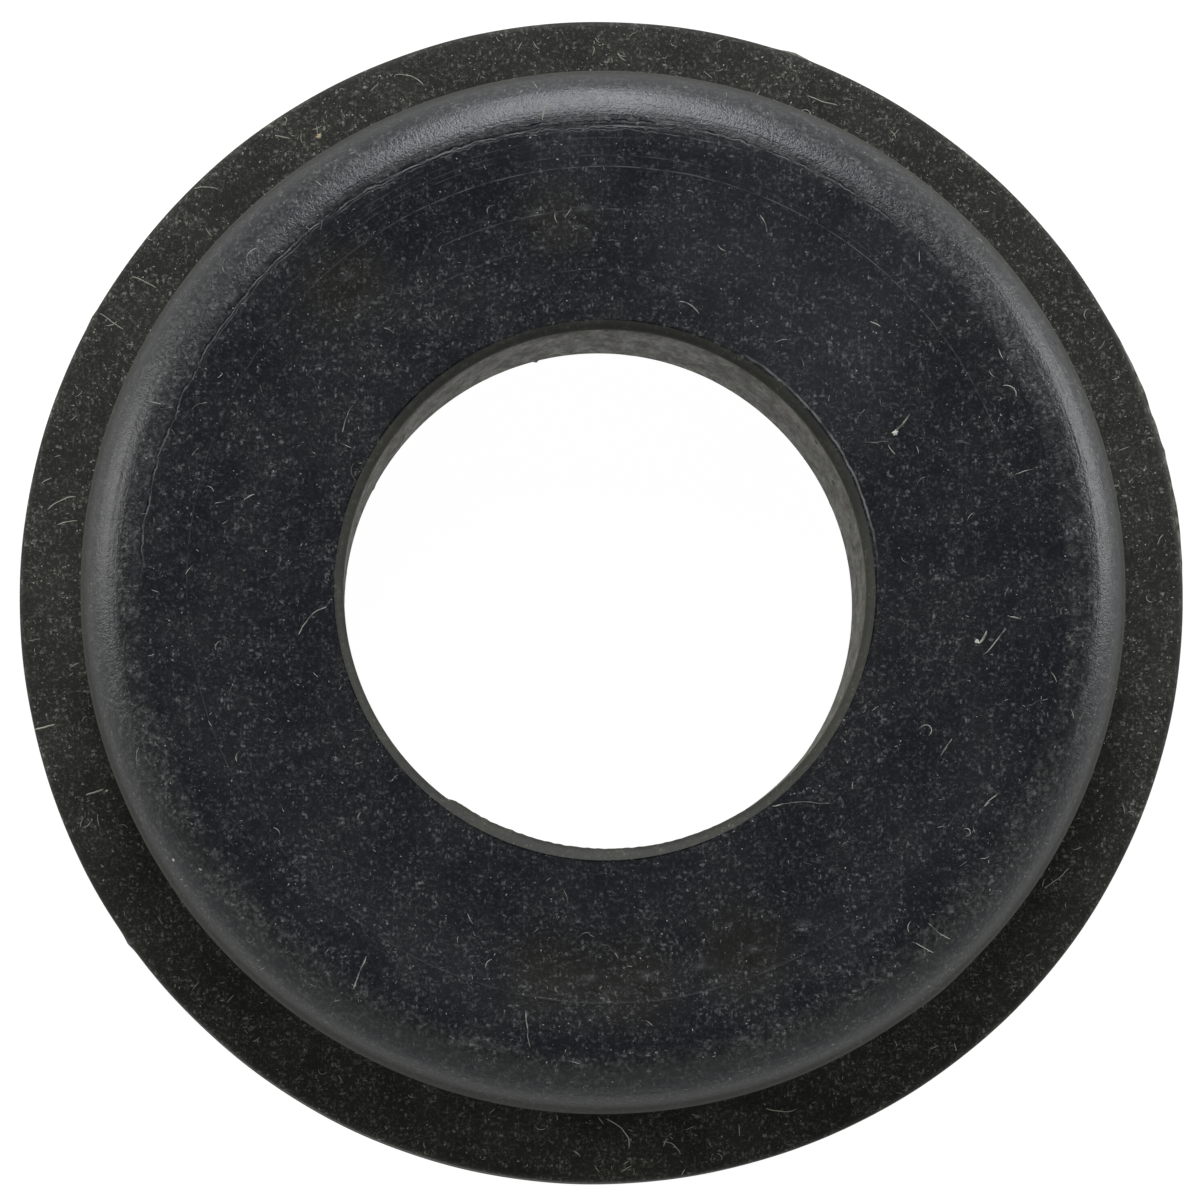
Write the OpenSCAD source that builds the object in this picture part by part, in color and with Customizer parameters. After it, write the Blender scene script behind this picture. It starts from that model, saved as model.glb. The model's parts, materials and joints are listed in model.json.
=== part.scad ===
// Push-in rubber grommet, moulded in one piece: a broad flange, a groove that grips the edge of
// a panel's hole, and a round-shouldered nose that is pushed through it, all round a plain bore.
// It rests on the flange's outer face, with the nose up and its axis along Z.

/* [Flange] */
// Diameter of the flange, which stays outside the panel
flange_d = 42; // [40:0.5:50]
// Thickness of the flange
flange_t = 4.8; // [3:0.1:6]
// Radius on the flange's two outer edges
flange_edge_r = 0.2; // [0.1:0.1:1]

/* [Panel groove] */
// Diameter of the neck at the bottom of the groove, which fills the panel's hole
neck_d = 31.8; // [28:0.1:34]
// Width of the groove, which is the thickest panel that it takes unstretched
groove_w = 2.4; // [1.5:0.1:4]
// Fillet radius in the groove's two inner corners
groove_fillet_r = 0.4; // [0.2:0.1:0.6]

/* [Nose] */
// Largest diameter of the nose, which is squeezed through the panel's hole
nose_d = 37.1; // [35.5:0.1:39]
// Thickness of the nose, from the groove to its face
nose_t = 4.8; // [3.5:0.1:6]
// Radius of the shoulder that leads the nose into the hole
shoulder_r = 2; // [1:0.1:3]
// Radius on the nose's lower edge, beside the groove
nose_edge_r = 0.4; // [0.2:0.1:0.8]

/* [Bore] */
// Diameter of the bore, which grips the valve or tube pushed into it
bore_d = 18.4; // [12:0.1:24]
// Chamfer where the bore opens in the nose's face
mouth_chamfer = 0.2; // [0.1:0.05:0.6]
// Chamfer where the bore opens in the flange's outer face
foot_chamfer = 0.1; // [0.05:0.05:0.6]

/* [Hidden] */
flange_r = flange_d / 2;
neck_r = neck_d / 2;
nose_r = nose_d / 2;
bore_r = bore_d / 2;
// Height of the nose's underside, and of its face
nose_z = flange_t + groove_w;
total_h = nose_z + nose_t;
// How far a cutter runs past the rubber that it cuts
overcut = 1;
// Black rubber with a slight blue cast
rubber_colour = [0.075, 0.078, 0.085];

// Sliver that a round edge takes off a corner at [r, z], the top one when up is true
module edge_cut(r, z, radius, up) {
    translate([r, z])
        mirror([0, up ? 0 : 1])
            translate([-radius, -radius])
                difference() {
                    square(radius + overcut);
                    circle(r = radius, $fn = 96);
                }
}

// Rubber that a fillet adds in a corner of the groove at [r, z], on the flange when up is true
module groove_fillet(r, z, radius, up) {
    translate([r, z])
        mirror([0, up ? 0 : 1])
            difference() {
                translate([-overcut, -overcut])
                    square(radius + overcut);
                translate([radius, radius])
                    circle(r = radius, $fn = 96);
            }
}

// Triangle that a chamfer takes off the bore's edge at height z, the mouth's when up is true
module bore_chamfer(z, size, up) {
    translate([bore_r, z])
        mirror([0, up ? 0 : 1])
            polygon([[-overcut, overcut], [overcut + size, overcut], [-overcut, -overcut - size]]);
}

module flange_section() {
    difference() {
        translate([bore_r, 0])
            square([flange_r - bore_r, flange_t]);
        edge_cut(flange_r, 0, flange_edge_r, false);
        edge_cut(flange_r, flange_t, flange_edge_r, true);
    }
}

module neck_section() {
    translate([bore_r, flange_t - overcut])
        square([neck_r - bore_r, groove_w + 2 * overcut]);
    groove_fillet(neck_r, flange_t, groove_fillet_r, true);
    groove_fillet(neck_r, nose_z, groove_fillet_r, false);
}

module nose_section() {
    difference() {
        translate([bore_r, nose_z])
            square([nose_r - bore_r, nose_t]);
        edge_cut(nose_r, nose_z, nose_edge_r, false);
        edge_cut(nose_r, total_h, shoulder_r, true);
    }
}

// Half of the grommet's section, to the right of its axis
module half_section() {
    difference() {
        union() {
            flange_section();
            neck_section();
            nose_section();
        }
        bore_chamfer(total_h, mouth_chamfer, true);
        bore_chamfer(0, foot_chamfer, false);
    }
}

module grommet() {
    color(rubber_colour)
        rotate_extrude($fn = 180)
            half_section();
}

grommet();
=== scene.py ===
import json
import math
import random

import bpy
import numpy as np
from mathutils import Matrix, Vector
from mathutils.bvhtree import BVHTree


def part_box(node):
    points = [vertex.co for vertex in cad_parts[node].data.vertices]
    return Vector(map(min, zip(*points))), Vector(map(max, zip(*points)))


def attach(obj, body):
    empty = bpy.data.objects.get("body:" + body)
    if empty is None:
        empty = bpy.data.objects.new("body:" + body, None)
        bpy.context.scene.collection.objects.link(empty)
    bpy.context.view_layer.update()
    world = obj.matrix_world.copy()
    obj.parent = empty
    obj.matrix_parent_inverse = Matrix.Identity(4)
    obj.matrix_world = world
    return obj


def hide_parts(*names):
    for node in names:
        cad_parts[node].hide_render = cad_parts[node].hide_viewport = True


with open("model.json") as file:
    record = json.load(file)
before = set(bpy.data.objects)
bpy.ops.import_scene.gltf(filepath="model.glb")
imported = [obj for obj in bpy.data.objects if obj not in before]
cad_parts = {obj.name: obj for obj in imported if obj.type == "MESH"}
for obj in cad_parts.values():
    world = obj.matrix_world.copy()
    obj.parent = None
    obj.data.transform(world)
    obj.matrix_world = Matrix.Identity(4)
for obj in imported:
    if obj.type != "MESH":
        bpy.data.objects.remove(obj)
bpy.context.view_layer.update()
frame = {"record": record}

# Sizes in metres. Those of the frame are read from it, the others repeat the part's source.
MM = 0.001
_, high_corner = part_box("grommet")
FLANGE_R = high_corner.x
FACE_Z = high_corner.z
BORE_R = frame["record"]["mounts"][0]["dims"]["r_mm"] * MM
FLANGE_T = 4.8 * MM
FLANGE_EDGE_R = 0.2 * MM
NECK_R = 15.9 * MM
GROOVE_W = 2.4 * MM
GROOVE_FILLET_R = 0.4 * MM
NOSE_R = 18.55 * MM
NOSE_Z = FLANGE_T + GROOVE_W
NOSE_EDGE_R = 0.4 * MM
SHOULDER_R = 2.0 * MM
SHOULDER_START_R = NOSE_R - SHOULDER_R
FOOT_CHAMFER = 0.1 * MM

# How the moulding departs from its drawing, all of it inside the drawing's box
FLANGE_SHRINK = 0.11 * MM
FLANGE_SHIFT = (0.025 * MM, -0.045 * MM)
# The face sinks towards the bore, over a stretch that a larger pace makes shorter
FACE_DISH = 0.12 * MM
DISH_PACE = 2.5
# How much lower the whole top lies, and the height that none of it passes
TOP_DROP = 0.06 * MM
HIGHEST_Z = FACE_Z - 0.035 * MM
# Radii between which the face turns into the shoulder; a larger ease turns it later
SHOULDER_SOFT = (16.04 * MM, 17.3 * MM)
SHOULDER_EASE = 3.5
# The fin on the rim's parting line, and the stretch where it is wider: by how much, how uneven that
# is, and the shares of it by which the rim falls back there and by which the fin stands out
PARTING_Z = FLANGE_T - 0.35 * MM
FIN_HALF_T = 0.03 * MM
FIN_OUT = 0.012 * MM
FLASH_DEG = (3, 27)
FLASH_OUT = 0.06 * MM
FLASH_UNEVEN = 0.35
FLASH_RIM_SHARE = 0.6
FLASH_FIN_SHARE = 1.4
# How far off the axis the face and the mouth were moulded
PLATE_SHIFT = (0.06 * MM, 0.13 * MM)
MOUTH_SHIFT = (0.03 * MM, -0.06 * MM)
# The stretch from the shoulder inwards over which the face's shift sets in, and the radii over
# which the mouth's takes its place
PLATE_REACH = 2 * MM
MOUTH_SHIFT_R = (11 * MM, 9.8 * MM)
# The mouth's rounding: how much wider it is than the bore, how deep it goes, and its raised edge
MOUTH_FLARE = 0.05 * MM
LIP_DEPTH = 0.42 * MM
LIP_RIDGE_R = 0.36 * MM
LIP_RIDGE_HALF = 0.05 * MM
LIP_RIDGE_H = 0.014 * MM
LIP_RIDGE_DEG = (10, 56)
LIP_RIDGE_UNEVEN = 0.5
# The thin torn skirt that stands into the mouth: where it starts and ends, its width and its tears
SKIRT_DEG = (234.0, 318)
SKIRT_START_SOFT_DEG = 0.35
SKIRT_END_SOFT_DEG = 60
SKIRT_WIDTH = 0.13 * MM
SKIRT_TEARS = 0.018 * MM
# Heights over which the mouth's shift, its flare and its skirt fade out down the bore
MOUTH_SHIFT_Z = (6 * MM, 11 * MM)
MOUTH_FLARE_Z = (7 * MM, 11.4 * MM)
SKIRT_Z = (11.35 * MM, 11.47 * MM)
# Radii over which the skirt fades out across the rounded mouth
SKIRT_R = (BORE_R + 0.3 * MM, BORE_R + 0.05 * MM)
# How uneven the bore's foot is, and the heights over which that fades out up the bore
FOOT_TEARS = 0.006 * MM
FOOT_Z = (4 * FOOT_CHAMFER, 1.5 * FOOT_CHAMFER)

SEGMENTS = 480


# The section, as rows of (radius, height, zone), from the bore's foot round the outside

def line(start, end, rows, zone):
    return [
        (start[0] + (end[0] - start[0]) * i / rows, start[1] + (end[1] - start[1]) * i / rows, zone)
        for i in range(rows)
    ]


def arc(centre, radius, start_deg, end_deg, rows, zone):
    points = []
    for i in range(rows):
        a = math.radians(start_deg + (end_deg - start_deg) * i / rows)
        points.append((centre[0] + radius * math.cos(a), centre[1] + radius * math.sin(a), zone))
    return points


def section():
    rim = FLANGE_R - FLANGE_SHRINK
    rows = line((BORE_R, FOOT_CHAMFER), (BORE_R + FOOT_CHAMFER, 0), 2, "flange")
    rows += line((BORE_R + FOOT_CHAMFER, 0), (rim - FLANGE_EDGE_R, 0), 5, "flange")
    rows += arc((rim - FLANGE_EDGE_R, FLANGE_EDGE_R), FLANGE_EDGE_R, -90, 0, 4, "flange")
    rows += line((rim, FLANGE_EDGE_R), (rim, PARTING_Z - 2 * FIN_HALF_T), 4, "flange")
    rows += [
        (rim, PARTING_Z - 2 * FIN_HALF_T, "flange"),
        (rim, PARTING_Z - FIN_HALF_T, "fin"),
        (rim, PARTING_Z + FIN_HALF_T, "fin"),
        (rim, PARTING_Z + 2 * FIN_HALF_T, "flange"),
    ]
    rows += arc((rim - FLANGE_EDGE_R, FLANGE_T - FLANGE_EDGE_R), FLANGE_EDGE_R, 12, 90, 5, "flange")
    rows += line((rim - FLANGE_EDGE_R, FLANGE_T), (NECK_R + GROOVE_FILLET_R, FLANGE_T), 10, "flange")
    fillet_r = NECK_R + GROOVE_FILLET_R
    rows += arc((fillet_r, FLANGE_T + GROOVE_FILLET_R), GROOVE_FILLET_R, 270, 180, 4, "flange")
    rows += line((NECK_R, FLANGE_T + GROOVE_FILLET_R), (NECK_R, NOSE_Z - GROOVE_FILLET_R), 2, "flange")
    rows += arc((fillet_r, NOSE_Z - GROOVE_FILLET_R), GROOVE_FILLET_R, 180, 90, 4, "flange")
    rows += line((fillet_r, NOSE_Z), (NOSE_R - NOSE_EDGE_R, NOSE_Z), 3, "nose")
    rows += arc((NOSE_R - NOSE_EDGE_R, NOSE_Z + NOSE_EDGE_R), NOSE_EDGE_R, -90, 0, 5, "nose")
    rows += line((NOSE_R, NOSE_Z + NOSE_EDGE_R), (NOSE_R, FACE_Z - SHOULDER_R), 3, "nose")
    rows += [(r, float(top_height(r)), "nose") for r in top_radii()]
    rows += [(BORE_R + out * MM, FACE_Z - FACE_DISH - down * MM, "lip") for out, down in LIP]
    rows += line((BORE_R, FACE_Z - FACE_DISH - LIP_DEPTH), (BORE_R, 3 * FOOT_CHAMFER), 8, "bore")
    rows += line((BORE_R, 3 * FOOT_CHAMFER), (BORE_R, FOOT_CHAMFER), 2, "bore")
    return rows


# The rounded mouth of the bore, from the face inwards: (outwards of the bore, below the face) in mm
LIP = [
    (0.37, 0.0), (0.33, 0.01), (0.28, 0.03), (0.225, 0.062),
    (0.165, 0.107), (0.11, 0.16), (0.06, 0.228), (0.018, 0.31),
]
# Stretches of the nose's upper side with fine detail: (middle radius, half width, step) in mm
FINE_ROWS = [
    (17.62, 0.18, 0.05), (16.62, 0.14, 0.035), (16.38, 0.14, 0.024), (15.45, 0.22, 0.055),
    (14.84, 0.12, 0.03),
]
# Distance of the face's other rows in mm, and of the shoulder's rows in degrees, and their number
ROW_STEP = 0.15
SHOULDER_STEP_DEG = 3.5
SHOULDER_ROWS = 14


def top_height(r):
    """Height of the nose's upper side at a radius: a shoulder that starts softly, and a dished face."""
    r = np.asarray(r, float)
    soft_start, soft_end = SHOULDER_SOFT
    over = np.clip(r - SHOULDER_START_R, 0, SHOULDER_R)
    shoulder = FACE_Z - SHOULDER_R + np.sqrt(SHOULDER_R ** 2 - over ** 2)
    end_over = soft_end - SHOULDER_START_R
    end_drop = SHOULDER_R - math.sqrt(SHOULDER_R ** 2 - end_over ** 2)
    part = np.clip((r - soft_start) / (soft_end - soft_start), 0, 1)
    top = np.where(r < soft_end, FACE_Z - end_drop * part ** SHOULDER_EASE, shoulder)
    inward = np.clip((soft_start - r) / (soft_start - BORE_R), 0, 1)
    return top - FACE_DISH * smooth(inward * DISH_PACE)


def top_radii():
    """Radii of the rows on the nose's upper side, from its rim to the mouth."""
    tilts = [math.radians(90 - SHOULDER_STEP_DEG * i) for i in range(SHOULDER_ROWS)]
    radii = [(SHOULDER_START_R + SHOULDER_R * math.sin(tilt)) / MM for tilt in tilts]
    while radii[-1] > BORE_R / MM + LIP[0][0] + ROW_STEP:
        r = radii[-1]
        steps = [step for middle, half, step in FINE_ROWS if abs(r - middle) <= half + 0.02]
        radii.append(r - min(steps + [ROW_STEP]))
    return [r * MM for r in radii]


# Unevenness round the part, as sums of waves: (height in mm, waves round the part, phase)
FLANGE_WAVES = [(0.014, 2, 0.6), (0.012, 3, 2.1), (0.007, 7, 0.3), (0.005, 13, 4.0), (0.003, 31, 1.2)]
NOSE_WAVES = [(0.012, 2, 1.9), (0.008, 5, 0.4), (0.004, 11, 2.2)]
# The rounded mouth's waves, which have these heights at a distance from the bore
LIP_WAVES_OUT = 0.5 * MM
LIP_WAVES = [(0.022, 3, 0.5), (0.018, 5, 2.4), (0.014, 9, 1.0), (0.010, 17, 3.3), (0.006, 37, 5.1)]
# The waves of the nose's upper side, up and down
HEIGHT_WAVES = [(0.003, 2, 0.2), (0.0018, 5, 1.4), (0.0009, 12, 2.8)]


def waves(table, angle):
    return sum(a * MM * np.sin(n * angle + phase) for a, n, phase in table)


def between(angle, start_deg, end_deg, soft_deg):
    """1 inside a stretch of the round part, 0 outside it, with soft ends."""
    middle = math.radians((start_deg + end_deg) / 2)
    half = math.radians((end_deg - start_deg) / 2)
    away = np.abs((angle - middle + math.pi) % (2 * math.pi) - math.pi)
    return np.clip((half - away) / math.radians(soft_deg) + 0.5, 0, 1)


def smooth(t):
    t = np.clip(t, 0, 1)
    return t * t * (3 - 2 * t)


def rise(value, start, end):
    """0 up to the start, 1 from the end on, and smooth between them."""
    return smooth((value - start) / (end - start))


# Raised round pips on the face: (angle in degrees, radius in mm, size in mm)
PIPS = [
    (130.0, 14.1, 0.42),
    (100.5, 13.3, 0.34),
    (93.0, 13.3, 0.34),
    (268.0, 14.0, 0.32),
    (276.0, 14.0, 0.32),
    (284.0, 14.0, 0.32),
    (292.0, 14.0, 0.32),
    (300.0, 14.0, 0.32),
]
PIP_H = 0.05 * MM
PIP_EDGE = 0.20 * MM


def pip_height(x, y):
    height = np.zeros_like(x)
    for angle_deg, radius, size in PIPS:
        a = math.radians(angle_deg)
        away = np.hypot(x - radius * MM * math.cos(a), y - radius * MM * math.sin(a))
        height += PIP_H * smooth((size * MM - away) / PIP_EDGE)
    return height


# Lines that the mould leaves on the nose: radius, start and end angle, height, half width and
# waviness, in mm and degrees. A height below 0 is a crease.
WITNESS_LINES = [
    (16.38, 80, 176, 0.011, 0.032, 0.035),
    (16.46, 84, 172, -0.009, 0.035, 0.035),
    (16.64, 56, 104, -0.008, 0.035, 0.040),
    (16.55, 54, 86, 0.009, 0.035, 0.035),
    (16.58, 30, 58, -0.006, 0.045, 0.040),
    (14.82, 20, 325, 0.006, 0.035, 0.006),
    (15.24, 60, 128, 0.005, 0.040, 0.006),
    (15.56, 84, 116, 0.005, 0.045, 0.008),
    (17.56, -8, 46, 0.014, 0.045, 0.020),
    (17.68, -2, 34, -0.014, 0.045, 0.020),
    (17.60, 148, 184, 0.010, 0.045, 0.010),
    (17.48, 150, 186, -0.008, 0.045, 0.010),
]


def ragged(angle, seed, pace=1.0):
    """An uneven wiggle between about -1 and 1 round the part, of whole waves so that its ends meet."""
    rng = random.Random(seed)
    value = np.zeros_like(angle)
    for count in (17, 29, 47, 71, 101, 131, 163):
        turns = round(rng.uniform(0.9, 1.1) * count * pace)
        value += np.sin(turns * angle + rng.uniform(0, 6.28)) * rng.uniform(0.3, 1.0)
    return value / 2.2


def line_relief(r, angle):
    """Height of the mould's lines at a row of the nose's upper side."""
    relief = np.zeros_like(angle)
    for k, (radius, start, end, height, half_width, waviness) in enumerate(WITNESS_LINES):
        if abs(r / MM - radius) > 3 * half_width + 2 * waviness:
            continue
        middle = radius + waviness * ragged(angle, 10 + k)
        strength = np.clip(0.55 + 0.6 * ragged(angle, 40 + k, 0.37), 0.0, 1)
        strength = between(angle, start, end, 12) * strength
        relief += height * strength * np.exp(-((r / MM - middle) / half_width) ** 2)
    return relief * MM


# Bulges and flats of the flange's rim: (angle, half width in degrees, how far outwards in mm)
RIM_BULGES = [
    (138, 26, 0.050), (248, 15, 0.050), (52, 15, -0.050), (193, 17, -0.035), (18.8, 0.9, -0.045),
]
# The like on the nose's side, and the radii over which it sets in
NOSE_BULGES = [(310, 3.5, 0.050)]
NOSE_BULGES_R = (18.2 * MM, 18.5 * MM)
# Small nubs on the rim's parting line, where the fin was torn, in the same way
RIM_NUBS = [
    (14.8, 0.30, 0.05), (70.6, 1.1, 0.085), (151.0, 0.5, 0.04), (216.0, 0.7, 0.06), (234.5, 0.4, 0.04),
]
# The like at the bore's foot
FOOT_NUBS = [
    (104.2, 0.30, 0.070), (83.0, 0.6, 0.020), (152.0, 0.5, 0.030), (24.0, 0.6, 0.025), (301.0, 0.6, 0.02),
]


def bumps(table, angle):
    total = np.zeros_like(angle)
    for middle, half_width, size in table:
        away = np.abs((angle - math.radians(middle) + math.pi) % (2 * math.pi) - math.pi)
        total += size * MM * np.exp(-(away / math.radians(half_width)) ** 2)
    return total


def mouth_skirt(angle):
    """How far the thin torn skirt stands into the bore, on the mouth's near side."""
    start_deg, end_deg = SKIRT_DEG
    start = 1 / (1 + np.exp(-(np.degrees(angle) - start_deg) / SKIRT_START_SOFT_DEG))
    end = np.clip((end_deg - np.degrees(angle)) / SKIRT_END_SOFT_DEG, 0, 1)
    return (SKIRT_WIDTH + SKIRT_TEARS * ragged(angle, 7)) * start * end


def row_radius(r, z, zone, angle):
    """Radius of a row of the section, round the part."""
    radius = np.full(SEGMENTS, r)
    if zone in ("flange", "fin") and r > NOSE_R:
        out = rise(r, NOSE_R, FLANGE_R)
        flash = between(angle, *FLASH_DEG, 5) * FLASH_OUT * (1 + FLASH_UNEVEN * ragged(angle, 5, 0.8))
        radius = radius + (waves(FLANGE_WAVES, angle) + bumps(RIM_BULGES, angle)) * out
        radius = radius - FLASH_RIM_SHARE * flash * out
        if zone == "fin":
            radius = radius + bumps(RIM_NUBS, angle) + FIN_OUT + FLASH_FIN_SHARE * flash
    if zone == "nose":
        radius = radius + waves(NOSE_WAVES, angle) * rise(r, 0.8 * NOSE_R, NOSE_R)
        radius = radius + bumps(NOSE_BULGES, angle) * rise(r, *NOSE_BULGES_R)
    if zone == "lip":
        radius = radius + MOUTH_FLARE + waves(LIP_WAVES, angle) * (r - BORE_R) / LIP_WAVES_OUT
        radius = radius - mouth_skirt(angle) * rise(r, *SKIRT_R)
    if zone == "bore":
        radius = radius + MOUTH_FLARE * rise(z, *MOUTH_FLARE_Z)
        radius = radius - mouth_skirt(angle) * rise(z, *SKIRT_Z)
        foot = bumps(FOOT_NUBS, angle) + FOOT_TEARS * ragged(angle, 3)
        radius = radius - foot * rise(z, *FOOT_Z)
    return radius


def row_shift(r, z, zone):
    """How far a row of the section lies off the axis, in x and y."""
    shift, share = (0.0, 0.0), 1.0
    if zone in ("flange", "fin"):
        shift, share = FLANGE_SHIFT, rise(r, NOSE_R, FLANGE_R)
    elif zone in ("lip", "bore"):
        shift, share = MOUTH_SHIFT, rise(z, *MOUTH_SHIFT_Z)
    elif r < MOUTH_SHIFT_R[0]:
        near = rise(r, *MOUTH_SHIFT_R)
        shift = [plate + (mouth - plate) * near for plate, mouth in zip(PLATE_SHIFT, MOUTH_SHIFT)]
    elif r < SHOULDER_START_R and z > FACE_Z - SHOULDER_R:
        shift, share = PLATE_SHIFT, rise(r, SHOULDER_START_R, SHOULDER_START_R - PLATE_REACH)
    return shift[0] * share, shift[1] * share


def row_height(r, z, zone, angle, x, y):
    """Height of a row of the section, round the part."""
    height = np.full(SEGMENTS, z)
    on_slope = z > FACE_Z - SHOULDER_R
    if zone == "nose" and on_slope:
        height = height + line_relief(r, angle)
    if zone == "lip":
        ridge = math.exp(-((r - BORE_R - LIP_RIDGE_R) / LIP_RIDGE_HALF) ** 2)
        uneven = 1 + LIP_RIDGE_UNEVEN * ragged(angle, 8)
        height = height + LIP_RIDGE_H * ridge * between(angle, *LIP_RIDGE_DEG, 10) * uneven
    if zone in ("nose", "lip") and (on_slope or r < SHOULDER_START_R):
        height = height + pip_height(x, y) + waves(HEIGHT_WAVES, angle) - TOP_DROP
    return np.minimum(height, HIGHEST_Z) if zone == "nose" else height


def skin_points():
    rows = section()
    angle = np.arange(SEGMENTS) * 2 * math.pi / SEGMENTS
    points = np.zeros((len(rows), SEGMENTS, 3))
    for i, (r, z, zone) in enumerate(rows):
        radius = row_radius(r, z, zone, angle)
        shift_x, shift_y = row_shift(r, z, zone)
        x = radius * np.cos(angle) + shift_x
        y = radius * np.sin(angle) + shift_y
        points[i, :, 0] = x
        points[i, :, 1] = y
        points[i, :, 2] = row_height(r, z, zone, angle, x, y)
    return points, [zone for _, _, zone in rows]


def mesh_object(name, points, faces, materials, indices=None, sharp_deg=40):
    mesh = bpy.data.meshes.new(name)
    mesh.from_pydata(points, [], faces)
    for material in materials:
        mesh.materials.append(material)
    if indices is not None:
        mesh.polygons.foreach_set("material_index", indices)
    mesh.polygons.foreach_set("use_smooth", [True] * len(mesh.polygons))
    mesh.set_sharp_from_angle(angle=math.radians(sharp_deg))
    mesh.update()
    obj = bpy.data.objects.new(name, mesh)
    bpy.context.scene.collection.objects.link(obj)
    return obj


def ring_faces(rows, segments):
    """Faces of a closed ring of rows, row by row."""
    faces = []
    for i in range(rows):
        here = i * segments
        there = ((i + 1) % rows) * segments
        for j in range(segments):
            k = (j + 1) % segments
            faces.append((here + j, here + k, there + k, there + j))
    return faces


def make_skin(materials):
    points, zones = skin_points()
    rows = len(zones)
    slots = {"flange": 0, "fin": 4, "nose": 1, "lip": 2, "bore": 3}
    indices = [slots[zones[i]] for i in range(rows) for _ in range(SEGMENTS)]
    faces = ring_faces(rows, SEGMENTS)
    return mesh_object("grommet_skin", points.reshape(-1, 3).tolist(), faces, materials, indices)


# Materials

class Graph:
    """A short way to write a material's nodes."""

    def __init__(self, name):
        self.material = bpy.data.materials.new(name)
        self.material.use_nodes = True
        self.tree = self.material.node_tree
        self.tree.nodes.clear()
        self.output = self.tree.nodes.new("ShaderNodeOutputMaterial")

    def put(self, socket, value):
        if isinstance(value, bpy.types.NodeSocket):
            self.tree.links.new(value, socket)
        elif value is not None:
            socket.default_value = value

    def node(self, kind, settings=None, **values):
        made = self.tree.nodes.new("ShaderNode" + kind)
        for key, value in (settings or {}).items():
            setattr(made, key, value)
        for key, value in values.items():
            self.put(made.inputs[key.replace("_", " ")], value)
        return made

    def math(self, operation, a, b=None, clamp=False):
        made = self.tree.nodes.new("ShaderNodeMath")
        made.operation = operation
        made.use_clamp = clamp
        self.put(made.inputs[0], a)
        self.put(made.inputs[1], b)
        return made.outputs[0]

    def mix(self, factor, a, b):
        made = self.tree.nodes.new("ShaderNodeMix")
        made.data_type = "RGBA"
        self.put(made.inputs[0], factor)
        self.put(made.inputs[6], a)
        self.put(made.inputs[7], b)
        return made.outputs[2]

    def ramp(self, value, low, high, to_low=0.0, to_high=1.0):
        made = self.node("MapRange", {"interpolation_type": "SMOOTHSTEP"}, Value=value)
        for key, number in (("From Min", low), ("From Max", high), ("To Min", to_low), ("To Max", to_high)):
            made.inputs[key].default_value = number
        return made.outputs[0]

    def noise(self, vector, scale, detail=2.0, roughness=0.5):
        made = self.node("TexNoise", Vector=vector, Scale=scale, Detail=detail, Roughness=roughness)
        return made.outputs[0]

    def place(self):
        return self.node("NewGeometry").outputs["Position"]


def colour(r, g, b):
    return (r, g, b, 1.0)


def ring_streaks(g, x, y, radius, pitch, stretch):
    """Fine lines that run round the part, left by the mould's turned surface."""
    joined = g.node("CombineXYZ")
    g.put(joined.inputs[0], g.math("MULTIPLY", radius, 1 / pitch))
    g.put(joined.inputs[1], g.math("MULTIPLY", x, 1 / stretch))
    g.put(joined.inputs[2], g.math("MULTIPLY", y, 1 / stretch))
    return g.noise(joined.outputs[0], 1.0, 2.0)


def patch(g, place, centre, reach):
    """1 at a point of the rubber, falling softly to 0 at a distance from it."""
    away = g.node("VectorMath", {"operation": "DISTANCE"})
    g.put(away.inputs[0], place)
    away.inputs[1].default_value = [c * MM for c in centre]
    return g.ramp(away.outputs["Value"], reach * MM, 0.25 * reach * MM)


# Where handling has left a bluish bloom, and where dirt sits round the pips: (centre, reach) in mm
BLOOM = [((4.6, 12.6, 12), 4.6), ((7.8, 7.9, 12), 3.8), ((9.8, 11.4, 12), 3.4), ((-1.2, 15.0, 12), 2.6)]
BLOOM_COLOUR = colour(0.0265, 0.0300, 0.0350)
DIRT = [
    ((-9.2, 10.7, 12), 2.3), ((-1.6, 13.2, 12), 2.0), ((1.0, -14.0, 12), 2.6), ((5.0, -12.9, 12), 2.6),
    ((-2.0, -13.6, 12), 2.4),
]
DIRT_COLOUR = colour(0.024, 0.022, 0.015)


def shiny(g, base, rough, specular, bump):
    shader = g.node("BsdfPrincipled", Base_Color=base, Roughness=rough)
    shader.inputs["Specular IOR Level"].default_value = specular
    g.put(shader.inputs["Normal"], bump)
    return shader.outputs[0]


def squeezed(g, place, factors):
    """The place in squeezed coordinates, which draw a texture out along the axes with small factors."""
    made = g.node("VectorMath", {"operation": "MULTIPLY"})
    g.put(made.inputs[0], place)
    made.inputs[1].default_value = factors
    return made.outputs[0]


def shaken(g, place):
    """The place, moved about a little, so that specks of dust have uneven outlines."""
    shake = g.node("TexNoise", Vector=place, Scale=1 / (0.08 * MM), Detail=1.0)
    moved = g.node("VectorMath", {"operation": "MULTIPLY_ADD"})
    g.put(moved.inputs[0], shake.outputs["Color"])
    moved.inputs[1].default_value = (0.10 * MM, 0.10 * MM, 0.10 * MM)
    g.put(moved.inputs[2], place)
    return moved.outputs[0]


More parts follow.
